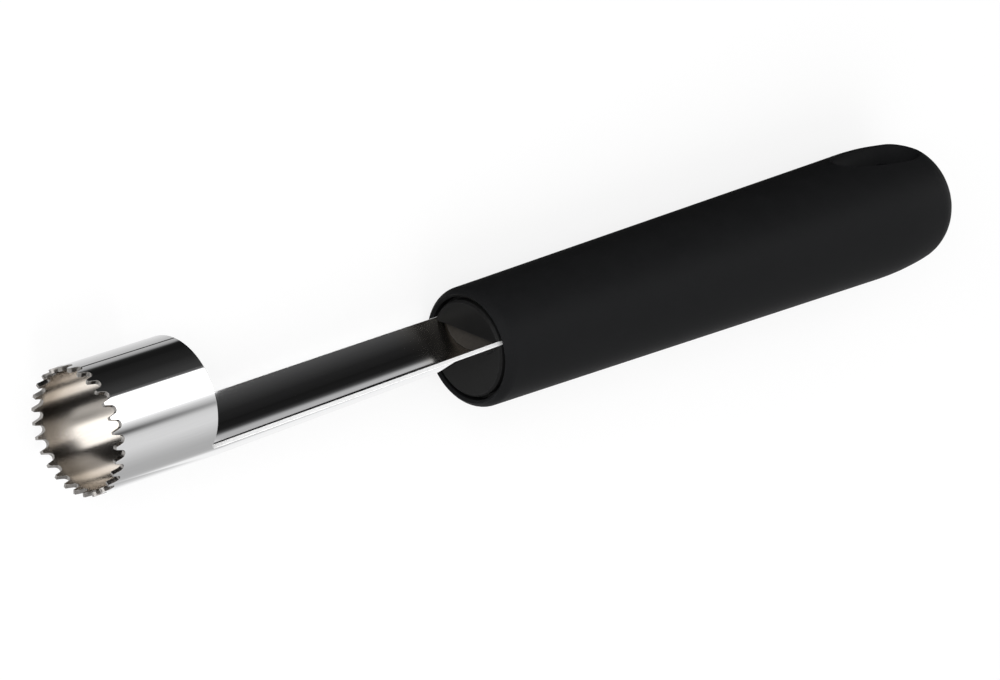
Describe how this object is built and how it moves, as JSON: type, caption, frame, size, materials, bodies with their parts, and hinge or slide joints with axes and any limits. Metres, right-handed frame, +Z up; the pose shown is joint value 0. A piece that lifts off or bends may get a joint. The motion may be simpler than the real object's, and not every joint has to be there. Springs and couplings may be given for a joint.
{
  "type": "apple corer",
  "caption": "Apple corer with a toothed steel ring on a channel shank and a round soft grip with a hanging hole.",
  "frame": {"origin": "on the resting plane, under the middle of the corer's bounding box", "axes": "+X along the corer towards the teeth, +Z up from the resting plane, -Y out of the open side of the channel"},
  "size_m": [0.213, 0.0322, 0.0253],
  "materials": {
    "steel": "polished sheet with faint rolling lines",
    "plug_plastic": "satin moulded",
    "grip_rubber": "fine matt"
  },
  "bodies": {
    "root": {"blade": "steel", "handle_plug": "plug_plastic", "grip_sleeve": "grip_rubber"}
  },
  "joints": []
}
